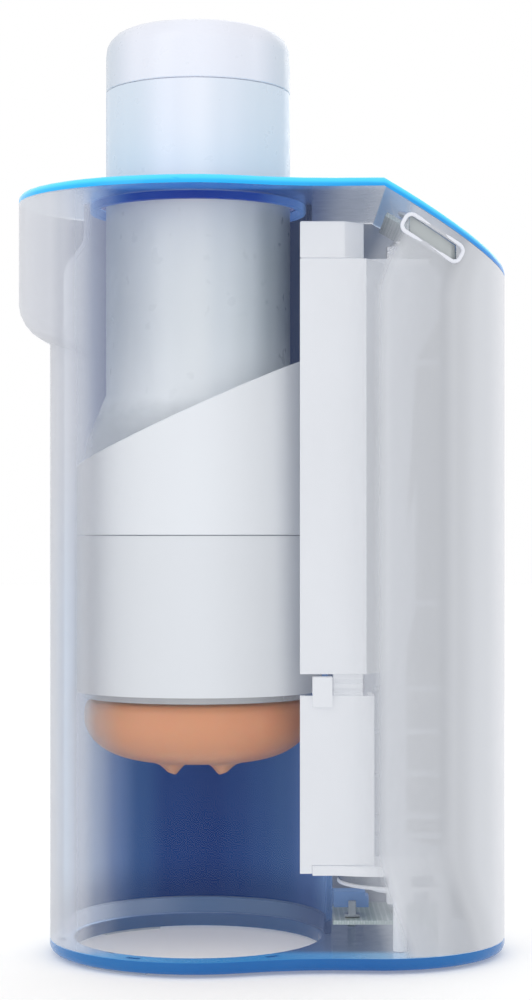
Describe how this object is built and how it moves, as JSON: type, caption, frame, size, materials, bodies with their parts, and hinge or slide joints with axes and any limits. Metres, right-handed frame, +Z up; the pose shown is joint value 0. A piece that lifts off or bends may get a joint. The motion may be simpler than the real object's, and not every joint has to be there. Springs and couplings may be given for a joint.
{
  "type": "motorized stroking massager",
  "caption": "Two-lobed housing between blue end plates; a screw drive lifts and lowers a gripper ring that carries a capped canister with a soft sleeve.",
  "frame": {"origin": "middle of the bounding box in plan, on the surface it stands on", "axes": "+Z up along the canister, +X from the canister towards the drive, -Y towards the window side"},
  "size_m": [0.179, 0.1088, 0.338],
  "materials": {
    "casing": "satin white, see-through towards the canister",
    "plate": "glossy azure",
    "liner": "smooth deep blue",
    "clear": "clear, faintly grey",
    "cap": "satin cool white",
    "drive": "fine moulded white",
    "sleeve": "soft silicone, satin",
    "rubber": "matte",
    "steel": "bright",
    "brass": "satin",
    "board": "solder mask",
    "dark": "moulded"
  },
  "bodies": {
    "housing": {"front_shell": "casing", "rear_shell": "casing", "top_plate": "plate", "base_plate": "plate", "top_collar": "liner", "base_collar": "liner", "chamber_liner": "liner", "window_lens": "clear", "drive_chassis": "drive", "upper_cover": "drive", "lower_cover": "drive", "drive_head": "drive", "cover_latch": "drive", "cover_joiner": "drive", "lower_bearing_plate": "drive", "upper_bearing_plate": "drive", "chassis_post_front_left": "drive", "chassis_post_rear_left": "drive", "chassis_post_front_right": "drive", "chassis_post_rear_right": "drive", "drive_belt": "rubber", "foot_front_left": "rubber", "foot_rear_left": "rubber", "foot_front_right": "rubber", "foot_rear_right": "rubber", "guide_rod_front": "steel", "guide_rod_rear": "steel", "screw_bearing_lower": "steel", "screw_bearing_upper": "steel", "motor_can": "steel", "base_screw_front_left": "steel", "base_screw_rear_left": "steel", "base_screw_front_right": "steel", "base_screw_rear_right": "steel", "control_board": "board", "base_board": "board", "button_board": "board", "controller_chip": "dark", "capacitor_upper": "dark", "capacitor_lower": "dark", "end_stop_sensor": "dark", "power_inlet": "dark"},
    "carriage": {"gripper_band": "drive", "gripper_collar": "drive", "carriage_body": "drive", "lead_nut": "brass", "rod_bushing_front": "brass", "rod_bushing_rear": "brass"},
    "canister": {"canister_tube": "clear", "soft_sleeve": "sleeve", "neck_seal": "rubber"},
    "cap": {"end_cap": "cap"},
    "screw": {"lead_screw": "steel", "screw_pulley": "drive"},
    "motor_rotor": {"motor_shaft": "steel", "motor_pulley": "steel"},
    "minus_key": {"button_minus": "cap"},
    "mode_key": {"button_mode": "cap"},
    "plus_key": {"button_plus": "cap"},
    "power_key": {"button_power": "cap"}
  },
  "joints": [
    {"name": "carriage_slide", "type": "slide", "parent": "housing", "child": "carriage", "axis": [0, 0, 1], "range_m": [-0.054, 0.026]},
    {"name": "canister_twist", "type": "hinge", "parent": "carriage", "child": "canister", "pos_m": [-0.0235, 0, 0.1], "axis": [0, 0, 1], "range_deg": [0, 30]},
    {"name": "cap_lift", "type": "slide", "parent": "canister", "child": "cap", "axis": [0, 0, 1], "range_m": [0, 0.03]},
    {"name": "screw_spin", "type": "hinge", "parent": "housing", "child": "screw", "pos_m": [0.0511, 0, 0.14], "axis": [0, 0, 1], "continuous": true},
    {"name": "motor_spin", "type": "hinge", "parent": "housing", "child": "motor_rotor", "pos_m": [0.0445, 0.03, 0.03], "axis": [0, 0, 1], "continuous": true},
    {"name": "minus_press", "type": "slide", "parent": "housing", "child": "minus_key", "axis": [-0.5, 0, -0.866], "range_m": [0, 0.0008], "stiffness_N_per_m": 1200, "springref_m": -0.0005},
    {"name": "mode_press", "type": "slide", "parent": "housing", "child": "mode_key", "axis": [-0.5, 0, -0.866], "range_m": [0, 0.0008], "stiffness_N_per_m": 1200, "springref_m": -0.0005},
    {"name": "plus_press", "type": "slide", "parent": "housing", "child": "plus_key", "axis": [-0.5, 0, -0.866], "range_m": [0, 0.0008], "stiffness_N_per_m": 1200, "springref_m": -0.0005},
    {"name": "power_press", "type": "slide", "parent": "housing", "child": "power_key", "axis": [-0.5, 0, -0.866], "range_m": [0, 0.0008], "stiffness_N_per_m": 1200, "springref_m": -0.0005}
  ],
  "couplings": [
    {"joint": "screw_spin", "follows": "carriage_slide", "rad_per_m": 261.8},
    {"joint": "motor_spin", "follows": "carriage_slide", "rad_per_m": 1152.8}
  ]
}
